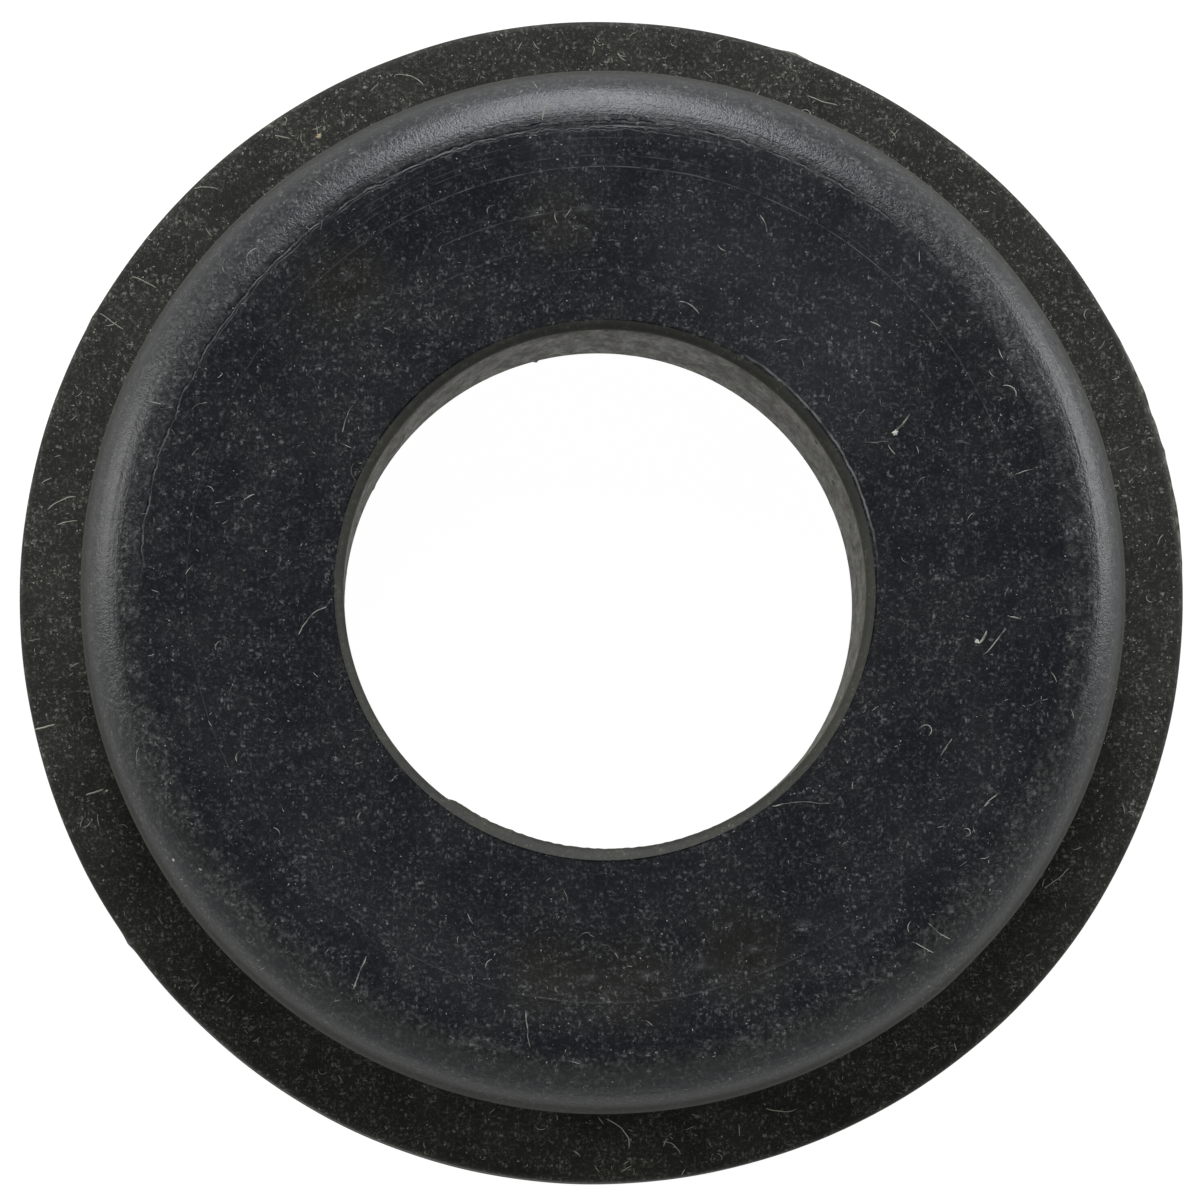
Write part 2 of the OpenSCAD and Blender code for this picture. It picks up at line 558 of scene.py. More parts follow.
def specks(g, place, cell, reach, stretch=(1, 1, 1)):
    """Crumbs of fine dust, one to each cell of the rubber, of random sizes and strengths."""
    if stretch != (1, 1, 1):
        place = squeezed(g, place, stretch)
    found = g.node("TexVoronoi", Vector=place, Scale=1 / cell)
    chance = g.node("SeparateColor", Color=found.outputs["Color"])
    size = g.ramp(chance.outputs[0], 0.15, 1.0, 0.0, reach)
    crumb = g.ramp(g.math("SUBTRACT", size, found.outputs["Distance"]), 0.0, 0.10)
    return g.math("MULTIPLY", crumb, g.ramp(chance.outputs[1], 0.2, 1.0, 0.12, 1.0))


# How far in degrees a hairline fades out beyond its ends, and how far inside them that begins
HAIR_FADE_DEG = (4, 6)


def hairline(g, radius, angle, gaps, line_r, start_deg, end_deg, half_width):
    """1 on a thin broken line round the part, 0 beside it. radius and angle are the place's own."""
    away = g.math("ABSOLUTE", g.math("SUBTRACT", radius, line_r * MM))
    line = g.ramp(away, half_width * MM, 0.3 * half_width * MM)
    turn = g.math("COSINE", g.math("SUBTRACT", angle, math.radians((start_deg + end_deg) / 2)))
    half = (end_deg - start_deg) / 2
    beyond, inside = HAIR_FADE_DEG
    faded, full = math.radians(half + beyond), math.radians(max(half - inside, 0))
    window = g.ramp(turn, math.cos(faded), math.cos(full))
    return g.math("MULTIPLY", g.math("MULTIPLY", line, window), gaps)


# Pale hairlines on the nose: pale dust, and near the shoulder (16.28 to 16.55 mm) also a painted highlight of
# the lines' lit edges: radius in mm, start and end angle, and how strongly painted pale
DUST_AND_HIGHLIGHT_LINES = [
    (14.84, 20, 122, 0.28), (14.82, 118, 330, 0.12), (15.24, 76, 104, 0.16), (15.43, 96, 140, 0.14),
    (15.62, 92, 132, 0.12), (15.86, 86, 130, 0.12), (13.33, 82, 118, 0.18), (12.16, 98, 138, 0.12),
    (16.38, 82, 178, 0.46), (16.55, 52, 86, 0.36), (15.04, 40, 80, 0.10), (11.20, 70, 104, 0.10),
    (16.28, 72, 150, 0.30),
]
PALE_LINE_HALF_WIDTH = 0.027
# Those within this radius in mm are round the face's own axis, the others round the part's
FACE_LINES_R = 16.2
# Painted highlight: the pale line on the mouth's outer edge, painted where its raised edge would catch the
# light: radius, start and end angle and half width; how strongly it is painted pale
MOUTH_HIGHLIGHT_LINE = (9.70, 8, 58, 0.055)
MOUTH_HIGHLIGHT_SHARE = 0.5
# Painted shade: dark lines beside the shoulder, where open cracks lie in shade, painted dark and all but
# unreflecting: radius, start and end angle and half width
CRACK_SHADE_LINES = [
    (16.64, 74, 104, 0.030), (16.61, 54, 80, 0.022), (16.45, 96, 174, 0.024), (16.60, 44, 60, 0.016),
    (16.98, 66, 84, 0.018), (17.22, 64, 88, 0.012), (16.52, 78, 96, 0.020), (17.66, 4, 44, 0.014),
    (17.50, 12, 40, 0.012),
]


def polar(g, x, y, centre):
    """Distance and direction of the place from a centre in the part's plan."""
    dx = g.math("SUBTRACT", x, centre[0])
    dy = g.math("SUBTRACT", y, centre[1])
    radius = g.math("SQRT", g.math("ADD", g.math("MULTIPLY", dx, dx), g.math("MULTIPLY", dy, dy)))
    return radius, g.math("ARCTAN2", dy, dx)


def strongest(g, masks):
    joined = masks[0]
    for mask in masks[1:]:
        joined = g.math("MAXIMUM", joined, mask)
    return joined


def nose_lines(g, place, x, y):
    """The nose's hairlines: how pale they are, as dust and in part as a painted highlight, and where painted
    crack shade darkens them.
    """
    slow = g.math("SUBTRACT", g.noise(place, 1 / (0.9 * MM), 2.0), 0.5)
    fast = g.math("SUBTRACT", g.noise(place, 1 / (0.20 * MM), 1.0), 0.5)
    wobble = g.math("ADD", g.math("MULTIPLY", slow, 0.34 * MM), g.math("MULTIPLY", fast, 0.12 * MM))
    gaps = g.ramp(g.noise(place, 1 / (0.55 * MM), 2.0), 0.36, 0.60, 0.25, 1.0)
    flat_r, flat_angle = polar(g, x, y, PLATE_SHIFT)
    round_r, round_angle = polar(g, x, y, (0.0, 0.0))
    flat_r = g.math("ADD", flat_r, g.math("MULTIPLY", wobble, 0.12))
    round_r = g.math("ADD", round_r, wobble)
    pale_lines = []
    for line_r, start, end, strength in DUST_AND_HIGHLIGHT_LINES:
        where = (flat_r, flat_angle) if line_r < FACE_LINES_R else (round_r, round_angle)
        hair = hairline(g, *where, gaps, line_r, start, end, PALE_LINE_HALF_WIDTH)
        pale_lines.append(g.math("MULTIPLY", hair, strength))
    mouth_r, mouth_angle = polar(g, x, y, MOUTH_SHIFT)
    mouth_r = g.math("ADD", mouth_r, g.math("MULTIPLY", wobble, 0.4))
    # Painted highlight: the pale line along the mouth's raised edge
    mouth = hairline(g, mouth_r, mouth_angle, gaps, *MOUTH_HIGHLIGHT_LINE)
    pale_lines.append(g.math("MULTIPLY", mouth, MOUTH_HIGHLIGHT_SHARE))
    crack_shade = [hairline(g, round_r, round_angle, gaps, *shaded_crack) for shaded_crack in CRACK_SHADE_LINES]
    return strongest(g, pale_lines), strongest(g, crack_shade)


# The shoulder, which starts between these radii, is glossier and bluer than the face, with a dull
# film in places and a deeper grain. The nose's side below it is dull and dusty.
SLOPE_START_R = (16.2 * MM, 16.7 * MM)
SLOPE_BUMP = 1.9
SLOPE_COLOUR = colour(0.0066, 0.0068, 0.0090)
FILM_COLOUR = colour(0.026, 0.026, 0.024)
SIDE_COLOUR = colour(0.050, 0.049, 0.043)
SIDE_DUST_COLOUR = colour(0.20, 0.20, 0.17)
# The painted shade of the cracks' dark lines
CRACK_SHADE_COLOUR = colour(0.009, 0.009, 0.009)


def dust_share(g, place, cloud, clump, grain, blot, scuffs, powder):
    """How much of the rubber the dust hides: powder, smears, and crumbs of two sizes."""
    uneven = shaken(g, place)
    along = specks(g, uneven, 0.115 * MM, 0.46, (1, 0.5, 1))
    across = specks(g, uneven, 0.135 * MM, 0.42, (0.5, 1, 1))
    small = g.math("MULTIPLY", g.math("MAXIMUM", along, across), 2.5 * powder)
    large = g.math("MULTIPLY", specks(g, uneven, 0.50 * MM, 0.14), 5.0 * powder)
    fine = g.math("MULTIPLY", g.ramp(grain, 0.48, 0.85), powder)
    smear = g.math("MULTIPLY", g.ramp(blot, 0.48, 0.78), 1.1 * powder)
    dirt = g.math("ADD", g.math("ADD", fine, smear), g.math("ADD", small, large))
    thick = g.math("MULTIPLY", g.ramp(cloud, 0.25, 0.65, 0.7, 1.15), g.ramp(clump, 0.34, 0.66, 0.45, 1.5))
    thick = g.math("MULTIPLY", thick, g.ramp(scuffs, 0.3, 0.7, 0.75, 1.3))
    return g.math("MULTIPLY", dirt, thick, clamp=True)


def skin_bump(g, radius, streaks, grain, blot, streak_depth, grain_depth, outer_share):
    """The streaks and the grain as a bump, weak towards the bore, and outer_share of it further out."""
    height = g.math("MULTIPLY", streaks, streak_depth)
    height = g.math("ADD", height, g.math("MULTIPLY", grain, grain_depth))
    height = g.math("ADD", height, g.math("MULTIPLY", blot, 1.4 * grain_depth))
    height = g.math("MULTIPLY", height, g.ramp(radius, 16.4 * MM, 17.0 * MM, 0.45, outer_share))
    return g.node("Bump", Height=height, Distance=1.0, Strength=1.0).outputs[0]


def rubber(name, deep, warm, dust, powder, roughness, specular, streak_depth, grain_depth, nose=False):
    """Moulded rubber under dust. powder is how much of it the finest dust hides."""
    g = Graph(name)
    place = g.place()
    x, y, z = g.node("SeparateXYZ", Vector=place).outputs
    radius, _ = polar(g, x, y, (0.0, 0.0))
    cloud = g.noise(place, 1 / (2.2 * MM), 3.0, 0.6)
    clump = g.noise(place, 1 / (0.45 * MM), 2.0, 0.6)
    grain = g.noise(place, 1 / (0.062 * MM), 0.0)
    blot = g.noise(place, 1 / (0.15 * MM), 1.0, 0.5)
    streaks = ring_streaks(g, x, y, radius, 0.085 * MM, 5 * MM)
    scuffs = ring_streaks(g, x, y, radius, 0.24 * MM, 3 * MM)
    base = g.mix(g.ramp(cloud, 0.36, 0.66), deep, warm)
    rough = g.ramp(cloud, 0.3, 0.7, roughness - 0.02, roughness + 0.03)
    dirt = dust_share(g, place, cloud, clump, grain, blot, scuffs, powder)
    outer_share = SLOPE_BUMP if nose else 1.0
    bump = skin_bump(g, radius, streaks, grain, blot, streak_depth, grain_depth, outer_share)
    if not nose:
        base = g.mix(dirt, base, dust)
        rough = g.math("ADD", rough, g.math("MULTIPLY", dirt, 0.35), clamp=True)
        g.put(g.output.inputs[0], shiny(g, base, rough, specular, bump))
        return g.material
    for spots, share, stain in ((BLOOM, 0.6, BLOOM_COLOUR), (DIRT, 0.5, DIRT_COLOUR)):
        for centre, reach in spots:
            base = g.mix(g.math("MULTIPLY", patch(g, place, centre, reach), share), base, stain)
    pale_lines, crack_shade = nose_lines(g, place, x, y)
    # From here on the dirt mask also holds the pale lines, in part a painted highlight
    dirt = g.math("MAXIMUM", dirt, pale_lines)
    slope = g.ramp(radius, *SLOPE_START_R)
    film = g.math("MULTIPLY", g.ramp(clump, 0.30, 0.70, 0.2, 1.0), g.ramp(blot, 0.3, 0.7, 0.15, 1.2))
    film = g.math("MULTIPLY", slope, film)
    rough = g.math("ADD", rough, g.math("MULTIPLY", dirt, 0.35))
    rough = g.math("ADD", rough, g.math("MULTIPLY", film, 0.11), clamp=True)
    slope_base = g.mix(dirt, g.mix(film, SLOPE_COLOUR, FILM_COLOUR), dust)
    side_base = g.mix(g.math("MULTIPLY", dirt, 1.5, clamp=True), SIDE_COLOUR, SIDE_DUST_COLOUR)
    side = g.ramp(z, FACE_Z - 0.40 * SHOULDER_R, FACE_Z - 0.72 * SHOULDER_R)
    layered = shiny(g, g.mix(dirt, base, dust), rough, specular, bump)
    for cover, share in (
        (shiny(g, slope_base, rough, 1.0, bump), slope),
        (shiny(g, side_base, 0.75, 0.3, bump), side),
        # Painted shade: the cracks' lines, dark and all but unreflecting
        (shiny(g, CRACK_SHADE_COLOUR, 0.9, 0.05, bump), crack_shade),
    ):
        both = g.node("MixShader")
        g.put(both.inputs[0], share)
        g.put(both.inputs[1], layered)
        g.put(both.inputs[2], cover)
        layered = both.outputs[0]
    g.put(g.output.inputs[0], layered)
    return g.material


def fin_rubber():
    """The thin torn flash on the rim, painted paler: dust, and in part a painted highlight where the rim's
    edge catches the light.
    """
    g = Graph("fin_rubber")
    place = g.place()
    patches = g.noise(place, 1 / (0.25 * MM), 2.0)
    # Partly painted highlight: the pale patches stand in for light caught along the rim's edge, besides dust
    base = g.mix(g.ramp(patches, 0.35, 0.65), colour(0.060, 0.060, 0.044), colour(0.220, 0.224, 0.170))
    shader = g.node("BsdfPrincipled", Base_Color=base, Roughness=g.ramp(patches, 0.3, 0.7, 0.55, 0.75))
    g.put(g.output.inputs[0], shader.outputs[0])
    return g.material


def flange_rubber():
    return rubber(
        "flange_rubber", deep=colour(0.015, 0.015, 0.0116), warm=colour(0.027, 0.0264, 0.0196),
        dust=colour(0.50, 0.50, 0.415), powder=0.10, roughness=0.62, specular=0.4,
        streak_depth=0.001 * MM, grain_depth=0.003 * MM,
    )


def nose_rubber():
    return rubber(
        "nose_rubber", deep=colour(0.0118, 0.0122, 0.0158), warm=colour(0.0155, 0.0158, 0.0182),
        dust=colour(0.36, 0.36, 0.35), powder=0.074, roughness=0.30, specular=0.4,
        streak_depth=0.005 * MM, grain_depth=0.0046 * MM, nose=True,
    )


def lip_rubber():
    return rubber(
        "lip_rubber", deep=colour(0.027, 0.027, 0.021), warm=colour(0.040, 0.038, 0.028),
        dust=colour(0.30, 0.30, 0.22), powder=0.06, roughness=0.62, specular=0.6,
        streak_depth=0.001 * MM, grain_depth=0.003 * MM,
    )


def bore_rubber():
    """The bore's wall: mottled satin rubber, which looks pale seen almost edge-on, and a few dark pits."""
    g = Graph("bore_rubber")
    place = g.place()
    drawn = squeezed(g, place, (1, 1, 0.25))
    marble = g.noise(drawn, 1 / (0.60 * MM), 4.0, 0.65)
    tint = g.noise(drawn, 1 / (0.70 * MM), 2.0)
    mottle = g.noise(drawn, 1 / (0.16 * MM), 2.0)
    grain = g.noise(place, 1 / (0.07 * MM), 0.0)
    pits = g.math("MULTIPLY", specks(g, drawn, 0.70 * MM, 0.19), 1.8, clamp=True)
    base = g.mix(g.ramp(marble, 0.32, 0.68), colour(0.064, 0.062, 0.038), colour(0.128, 0.124, 0.080))
    base = g.mix(g.ramp(tint, 0.50, 0.68, 0.0, 0.7), base, colour(0.142, 0.100, 0.082))
    base = g.mix(g.ramp(tint, 0.47, 0.32, 0.0, 0.7), base, colour(0.086, 0.100, 0.046))
    base = g.mix(g.ramp(grain, 0.5, 0.8, 0.0, 0.18), base, colour(0.40, 0.40, 0.31))
    base = g.mix(pits, base, colour(0.006, 0.006, 0.005))
    rough = g.math("ADD", g.ramp(marble, 0.35, 0.65, 0.64, 0.48), g.ramp(mottle, 0.35, 0.65, 0.07, -0.07))
    rough = g.math("ADD", rough, g.math("MULTIPLY", pits, 0.25), clamp=True)
    height = g.math("ADD", g.math("MULTIPLY", grain, 0.003 * MM), g.math("MULTIPLY", pits, -0.02 * MM))
    bump = g.node("Bump", Height=height, Distance=1.0, Strength=1.0)
    g.put(g.output.inputs[0], shiny(g, base, rough, 0.5, bump.outputs[0]))
    return g.material


def dust_material(name, dim, bright):
    """Grey dust, olive where it lies on the flange, and different from grain to grain."""
    g = Graph(name)
    place = g.place()
    split = g.node("SeparateXYZ", Vector=place)
    each = g.noise(place, 1 / (0.35 * MM), 0.0)
    base = g.mix(g.ramp(each, 0.3, 0.7), dim, bright)
    low = g.ramp(split.outputs[2], FLANGE_T + 2 * MM, FLANGE_T + MM, 0.0, 0.65)
    base = g.mix(low, base, colour(0.60, 0.59, 0.47))
    shader = g.node("BsdfPrincipled", Base_Color=base)
    shader.inputs["Roughness"].default_value = 0.9
    shader.inputs["Specular IOR Level"].default_value = 0.2
    g.put(g.output.inputs[0], shader.outputs[0])
    return g.material


# Dust and lint that lies on the rubber

# Fibres that stand out: (angle, radius, heading from outwards, length, curl, half thickness); degrees
# and mm, and the curl in degrees per mm
FIBRES = [
    (30.0, 16.3, 80, 0.5, 20, 0.018), (25.0, 16.1, 60, 0.8, 160, 0.018), (15.5, 15.1, 5, 0.7, 20, 0.016),
    (28.4, 11.7, 0, 0.9, 30, 0.030), (27.4, 11.3, 150, 0.8, 20, 0.018), (43.5, 13.5, 100, 0.5, 20, 0.022),
    (65.5, 13.9, 25, 0.7, 20, 0.016), (71.0, 10.3, 40, 0.9, 90, 0.022), (42.0, 18.1, 20, 0.6, 200, 0.018),
    (64.4, 19.75, 95, 1.2, 6, 0.018), (66.5, 19.0, 20, 0.9, 240, 0.018), (67.5, 18.9, 120, 1.0, 200, 0.016),
    (97.5, 17.9, 10, 1.4, 35, 0.018), (96.0, 17.4, 120, 0.9, 60, 0.016), (125.0, 17.4, 15, 0.6, 25, 0.020),
    (135.5, 17.2, 60, 0.9, 110, 0.017), (139.0, 17.8, 90, 0.7, 120, 0.018), (157.5, 17.0, 10, 0.6, 30, 0.016),
    (129.5, 11.7, 10, 0.5, 20, 0.024), (144.0, 11.0, 80, 1.1, 20, 0.018), (155.0, 15.5, 20, 0.7, 90, 0.016),
    (165.0, 12.8, 30, 0.5, 60, 0.022), (153.5, 9.9, 70, 0.8, 150, 0.016), (193.0, 20.1, 8, 0.9, 10, 0.030),
    (201.0, 19.1, 0, 0.7, 15, 0.030), (219.5, 17.9, 10, 0.6, 60, 0.017), (224.5, 17.7, 30, 0.5, 420, 0.015),
    (199.0, 17.4, 50, 0.7, 60, 0.015), (237.2, 15.5, 8, 1.3, 10, 0.021), (259.5, 15.2, 5, 1.4, 35, 0.017),
    (184.0, 9.85, 15, 1.5, 40, 0.018), (270.6, 18.65, 80, 1.5, -55, 0.020),
    (276.5, 19.6, 100, 0.9, -120, 0.014), (288.0, 19.2, 50, 1.1, 30, 0.015),
    (327.0, 19.0, 60, 1.2, 12, 0.018), (311.0, 16.6, 35, 0.9, 10, 0.017),
    (314.0, 16.5, 10, 1.0, 10, 0.019), (330.0, 17.8, 5, 1.0, 12, 0.015), (353.0, 17.9, 8, 1.6, 12, 0.015),
    (307.6, 9.75, 62, 2.1, 4, 0.021), (350.0, 13.6, 45, 1.3, 25, 0.020), (351.6, 13.4, 45, 0.6, 10, 0.040),
    (333.5, 13.3, 88, 0.8, 10, 0.022), (335.5, 12.6, 50, 0.9, 260, 0.018), (330.0, 15.5, 80, 0.7, 20, 0.018),
    (356.0, 14.4, 0, 0.4, 0, 0.026), (325.5, 15.5, 20, 0.6, 400, 0.015), (109.0, 19.6, 12, 1.2, 15, 0.015),
    (124.0, 20.0, 30, 0.6, 40, 0.018), (133.0, 20.2, 40, 0.9, 20, 0.015), (145.0, 19.5, 5, 1.0, 15, 0.016),
    (150.5, 19.7, 5, 1.1, 15, 0.016), (169.0, 19.2, 8, 1.2, 20, 0.018), (171.5, 19.0, 12, 0.8, 15, 0.018),
]
# Larger grains that stand out: (angle in degrees, radius and size in mm, colour)
GRAINS = [
    (121.3, 19.5, 0.10, (0.75, 0.40, 0.09)),
    (28.2, 11.7, 0.11, (0.80, 0.80, 0.70)),
    (351.9, 13.35, 0.08, (0.75, 0.74, 0.64)),
    (212.3, 18.0, 0.06, (0.70, 0.72, 0.66)),
    (215.0, 17.4, 0.05, (0.65, 0.68, 0.62)),
    (201.3, 19.0, 0.06, (0.70, 0.74, 0.53)),
]
# Fibres and grains strewn at random, and the share of them that goes to the flange
LOOSE_FIBRES = 620
LOOSE_GRAINS = 5400
FLANGE_SHARE = 0.45
# How far in mm they keep from the inner and the outer edge, of the flange and of the nose's top
FLANGE_MARGINS = (0.1, 0.3)
NOSE_MARGINS = (0.4, 0.3)
# The fibres' least and greatest length and half thickness, and the grains' size, in mm
LOOSE_LENGTH = (0.10, 0.52)
LOOSE_HALF_T = (0.009, 0.016)
LOOSE_SIZE = (0.011, 0.031)
# How much those fibres curl, either way, in degrees per mm
LOOSE_CURL = 150
# The stretch of the flange, in degrees, where it holds fewer grains, which is the stretch that the nose
# shades, and the share of its grains that is missing there
SPARSE_DEG = (195, 335)
SPARSE_SHARE = 0.6
# The dimmest shade of loose dust and lint
DUST_DIM = colour(0.12, 0.12, 0.11)
# Length of a fibre's pieces, and how far in radians it may turn aside from one to the next
FIBRE_STEP = 0.06 * MM
FIBRE_WANDER = 0.14


def surface_finder(skin):
    mesh = skin.data
    tree = BVHTree.FromPolygons([v.co for v in mesh.vertices], [list(p.vertices) for p in mesh.polygons])

    def find(x, y):
        """The point of the rubber's upper side at a place, and the surface's direction there."""
        hit, normal, _, _ = tree.ray_cast(Vector((x, y, 2 * FACE_Z)), Vector((0, 0, -1)))
        return (hit, normal) if hit is not None and normal.z > 0.3 else (None, None)

    return find


def fibre_path(find, x, y, heading, length, curl, half_thickness, rng):
    """Points of a fibre that lies on the rubber, with the surface's direction at each."""
    path = []
    for _ in range(max(3, round(length * MM / FIBRE_STEP))):
        hit, normal = find(x, y)
        if hit is None or (path and abs(hit.z - path[-1][0].z) > 1.5 * FIBRE_STEP):
            break
        path.append((hit + normal * 0.35 * half_thickness * MM, normal))
        heading += math.radians(curl) * FIBRE_STEP / MM + rng.uniform(-FIBRE_WANDER, FIBRE_WANDER)
        x += FIBRE_STEP * math.cos(heading)
        y += FIBRE_STEP * math.sin(heading)
    return path


def add_tube(path, half_thickness, points, faces):
    """A closed thread with four sides, thinner at its ends."""
    count = len(path)
    start = len(points)
    for i, (middle, normal) in enumerate(path):
        ahead = path[min(i + 1, count - 1)][0] - path[max(i - 1, 0)][0]
        side = normal.cross(ahead).normalized()
        thin = half_thickness * MM * (0.5 + 0.5 * min(1, i / 2, (count - 1 - i) / 2))
        for offset in (side, normal, -side, -normal):
            points.append(middle + offset * thin)
    for i in range(count - 1):
        here = start + 4 * i
        for j in range(4):
            k = (j + 1) % 4
            faces.append((here + j, here + k, here + 4 + k, here + 4 + j))
    last = start + 4 * (count - 1)
    faces.append((start + 3, start + 2, start + 1, start))
    faces.append((last, last + 1, last + 2, last + 3))


def add_grain(hit, normal, size, rng, points, faces):
    """A closed irregular crumb that is set a little into the rubber."""
    turn = rng.uniform(0, math.pi)
    along = normal.orthogonal().normalized()
    across = normal.cross(along)
    long_way = along * math.cos(turn) + across * math.sin(turn)
    short_way = normal.cross(long_way)
    stretch = rng.uniform(1.0, 2.2)
    middle = hit + normal * 0.15 * size
    start = len(points)
    corners = [(long_way, stretch), (short_way, 1), (-long_way, stretch), (-short_way, 1)]
    for direction, reach in corners + [(normal, 0.6), (-normal, 0.6)]:
        points.append(middle + direction * size * reach * rng.uniform(0.7, 1.1))
    for j in range(4):
        k = (j + 1) % 4
        faces.append((start + j, start + k, start + 4))
        faces.append((start + k, start + j, start + 5))


def on_part(angle_deg, radius_mm):
    a = math.radians(angle_deg)
    return radius_mm * MM * math.cos(a), radius_mm * MM * math.sin(a)


def random_place(rng):
    """A random place on the rubber's upper side; the flange holds more dust than its share."""
    if rng.random() < FLANGE_SHARE:
        inner, outer = NOSE_R / MM + FLANGE_MARGINS[0], FLANGE_R / MM - FLANGE_MARGINS[1]
    else:
        inner, outer = BORE_R / MM + NOSE_MARGINS[0], NOSE_R / MM - NOSE_MARGINS[1]
    return rng.uniform(0, 360), math.sqrt(rng.uniform(inner ** 2, outer ** 2))


def mostly_small(rng, least, most):
    return least + (most - least) * rng.random() ** 3


def make_lint(find):
    rng = random.Random(5)
    points, faces = [], []
    fibres = list(FIBRES)
    for _ in range(LOOSE_FIBRES):
        angle, radius = random_place(rng)
        length = mostly_small(rng, *LOOSE_LENGTH)
        heading = rng.uniform(0, 360)
        curl = rng.gauss(0, LOOSE_CURL)
        fibres.append((angle, radius, heading, length, curl, rng.uniform(*LOOSE_HALF_T)))
    for angle, radius, heading, length, curl, thick in fibres:
        x, y = on_part(angle, radius)
        path = fibre_path(find, x, y, math.radians(angle + heading), length, curl, thick, rng)
        if len(path) > 2:
            add_tube(path, thick, points, faces)
    material = dust_material("lint_grey", DUST_DIM, colour(0.46, 0.46, 0.40))
    return mesh_object("lint_fibres", points, faces, [material])


def make_dust(find):
    rng = random.Random(9)
    points, faces = [], []
    for _ in range(LOOSE_GRAINS):
        angle, radius = random_place(rng)
        hit, normal = find(*on_part(angle, radius))
        sparse = radius * MM > NOSE_R and SPARSE_DEG[0] < angle < SPARSE_DEG[1]
        if hit is not None and not (sparse and rng.random() < SPARSE_SHARE):
            add_grain(hit, normal, mostly_small(rng, *LOOSE_SIZE) * MM, rng, points, faces)
    material = dust_material("dust_grey", DUST_DIM, colour(0.46, 0.46, 0.41))
    loose = mesh_object("dust_grains", points, faces, [material])
    crumbs = []
    for k, (angle, radius, size, tint) in enumerate(GRAINS):
        points, faces = [], []
        hit, normal = find(*on_part(angle, radius))
        for _ in range(5):
            nudge = Vector((rng.uniform(-1, 1), rng.uniform(-1, 1), 0)) * 0.5 * size * MM
            add_grain(hit + nudge, normal, 0.6 * size * MM, rng, points, faces)
        material = dust_material("crumb_%d" % k, colour(*[0.7 * c for c in tint]), colour(*tint))
        crumbs.append(mesh_object("dust_crumb_%d" % k, points, faces, [material]))
    return [loose] + crumbs


# Floor, light and camera

# The room's tint, and its brightness at the horizon and overhead, where the fade ends
ROOM_TINT = colour(0.94, 0.97, 1.0)
ROOM_LOW = 0.45
ROOM_HIGH = 0.03
FADE_START = 0.1
FADE_END = 0.85
LAMP_DISTANCE = 0.7
# Panel lights: name, azimuth and elevation in degrees, size in metres, radiance, tint
PANELS = [
    ("key", 91, 40, (0.32, 0.72), 4.6, (0.92, 0.95, 1.0)),
    ("right", 20, 12, (0.46, 0.46), 3.0, (0.96, 0.99, 1.0)),
    ("left", 166, 23, (0.28, 0.52), 2.4, (1.0, 1.0, 0.98)),
    ("fill", 268, 53, (1.3, 0.42), 0.19, (1.0, 1.0, 0.97)),
]
# The floor lies just under the part
FLOOR_Z = -0.01 * MM
FLOOR_HALF = 1.5
# How bright it looks by itself: to the camera, and in what reflects it
FLOOR_GLOW = 0.985
FLOOR_GLOSS = 0.55
# Its colour beside that glow, on which the shadow shows, and for the light that it throws back
FLOOR_SHADE = colour(0.14, 0.14, 0.14)
FLOOR_PALE = colour(0.80, 0.80, 0.80)


def make_floor():
    g = Graph("floor_white")
    rays = g.node("LightPath")
    direct = g.math("MAXIMUM", rays.outputs["Is Camera Ray"], rays.outputs["Is Transmission Ray"])
    seen = g.math("MAXIMUM", direct, rays.outputs["Is Glossy Ray"])
    strength = g.math("ADD", g.math("MULTIPLY", direct, FLOOR_GLOW - FLOOR_GLOSS), FLOOR_GLOSS)
    diffuse = g.node("BsdfDiffuse", Color=FLOOR_SHADE)
    plain = g.node("BsdfDiffuse", Color=FLOOR_PALE)
    glow = g.node("Emission", Color=colour(1, 1, 1), Strength=strength)
    lit = g.node("AddShader")
    g.put(lit.inputs[0], diffuse.outputs[0])
    g.put(lit.inputs[1], glow.outputs[0])
    mixed = g.node("MixShader")
    g.put(mixed.inputs[0], seen)
    g.put(mixed.inputs[1], plain.outputs[0])
    g.put(mixed.inputs[2], lit.outputs[0])
    g.put(g.output.inputs[0], mixed.outputs[0])
    signs = [(-1, -1), (1, -1), (1, 1), (-1, 1)]
    corners = [(FLOOR_HALF * x, FLOOR_HALF * y, FLOOR_Z) for x, y in signs]
    floor = mesh_object("floor", corners, [(0, 1, 2, 3)], [g.material])


def make_world():
    """A pale room, dim overhead where the camera stands, so that flat black rubber stays black."""
    world = bpy.data.worlds.new("studio")
    bpy.context.scene.world = world
    world.use_nodes = True
    tree = world.node_tree
    tree.nodes.clear()
    output = tree.nodes.new("ShaderNodeOutputWorld")
    background = tree.nodes.new("ShaderNodeBackground")
    background.inputs[0].default_value = ROOM_TINT
    coordinate = tree.nodes.new("ShaderNodeTexCoord")
    split = tree.nodes.new("ShaderNodeSeparateXYZ")
    fade = tree.nodes.new("ShaderNodeMapRange")
    fade.inputs["From Min"].default_value = FADE_START
    fade.inputs["From Max"].default_value = FADE_END
    fade.inputs["To Min"].default_value = ROOM_LOW
    fade.inputs["To Max"].default_value = ROOM_HIGH
    tree.links.new(coordinate.outputs["Generated"], split.inputs[0])
    tree.links.new(split.outputs[2], fade.inputs["Value"])
    tree.links.new(fade.outputs[0], background.inputs[1])
    tree.links.new(background.outputs[0], output.inputs[0])


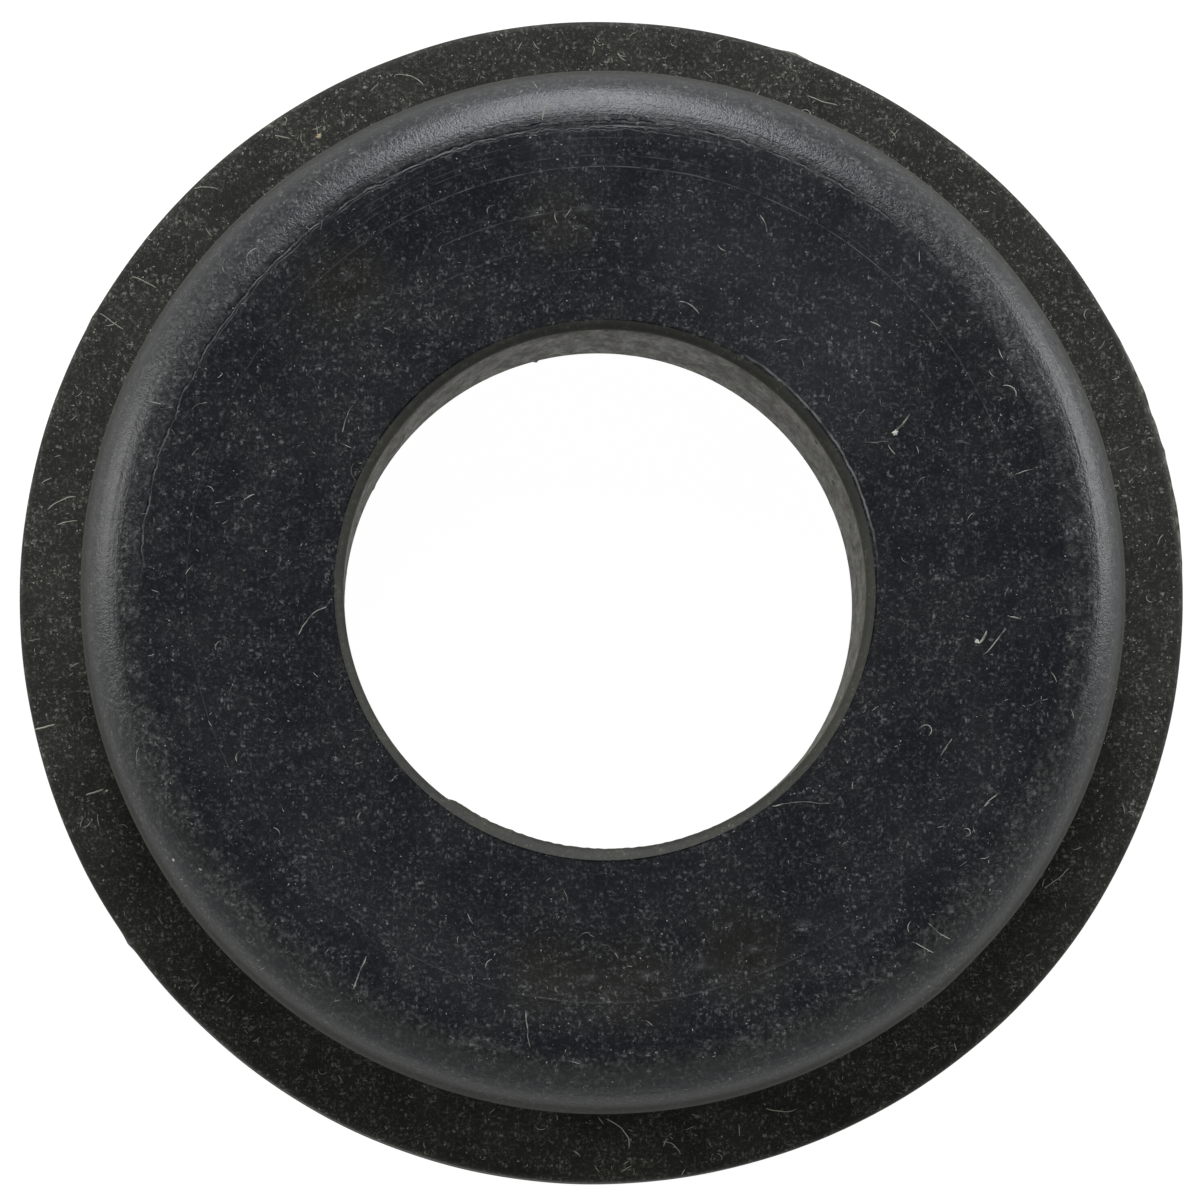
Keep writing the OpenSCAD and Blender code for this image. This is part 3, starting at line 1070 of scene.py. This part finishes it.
def make_panel(name, azimuth_deg, elevation_deg, size, radiance, tint):
    """A soft panel light that faces the part, at a direction from it and at the lamps' distance."""
    azimuth, elevation = math.radians(azimuth_deg), math.radians(elevation_deg)
    outwards = math.cos(elevation)
    place = LAMP_DISTANCE * Vector(
        (outwards * math.cos(azimuth), outwards * math.sin(azimuth), math.sin(elevation))
    )
    data = bpy.data.lights.new(name, "AREA")
    data.shape = "RECTANGLE"
    data.size, data.size_y = size
    data.energy = radiance * math.pi * size[0] * size[1]
    data.color = tint
    lamp = bpy.data.objects.new(name, data)
    lamp.location = place
    lamp.rotation_euler = (-place).to_track_quat("-Z", "Y").to_euler()
    bpy.context.scene.collection.objects.link(lamp)


# The photograph's view: where the flange's rim lies in its 1200-pixel frame, and how the view leans
PHOTO_PX = 1200
RIM_CENTRE_PX = (599.5, 602.7)
RIM_RADIUS_PX = 581.2
RIM_R = FLANGE_R - 0.035 * MM
RIM_Z = 2.6 * MM
LEAN_DEG = 3.36
LEAN_TO = (-0.301, -0.954)
CAMERA_DISTANCE = 483 * MM
SENSOR_MM = 36.0


def make_camera():
    lean = math.radians(LEAN_DEG)
    place = CAMERA_DISTANCE * Vector(
        (LEAN_TO[0] * math.sin(lean), LEAN_TO[1] * math.sin(lean), math.cos(lean))
    )
    px_per_m = RIM_RADIUS_PX / RIM_R
    middle = PHOTO_PX / 2
    target = Vector(
        ((middle - RIM_CENTRE_PX[0]) / px_per_m, (RIM_CENTRE_PX[1] - middle) / px_per_m, RIM_Z)
    )
    back = (place - target).normalized()
    right = Vector((0, 1, 0)).cross(back).normalized()
    up = back.cross(right)
    data = bpy.data.cameras.new("camera")
    data.sensor_width = SENSOR_MM
    data.lens = px_per_m * (place - target).length * SENSOR_MM / PHOTO_PX
    data.clip_start = 0.01
    data.clip_end = 20
    camera = bpy.data.objects.new("camera", data)
    camera.matrix_world = Matrix.Translation(place) @ Matrix((right, up, back)).transposed().to_4x4()
    bpy.context.scene.collection.objects.link(camera)
    bpy.context.scene.camera = camera


make_camera()
make_floor()
make_world()
for panel in PANELS:
    make_panel(*panel)
bpy.context.scene.view_settings.view_transform = "Standard"

skin = make_skin([flange_rubber(), nose_rubber(), lip_rubber(), bore_rubber(), fin_rubber()])
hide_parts("grommet")
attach(skin, "root")
surface = surface_finder(skin)
for piece in [make_lint(surface)] + make_dust(surface):
    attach(piece, "root")
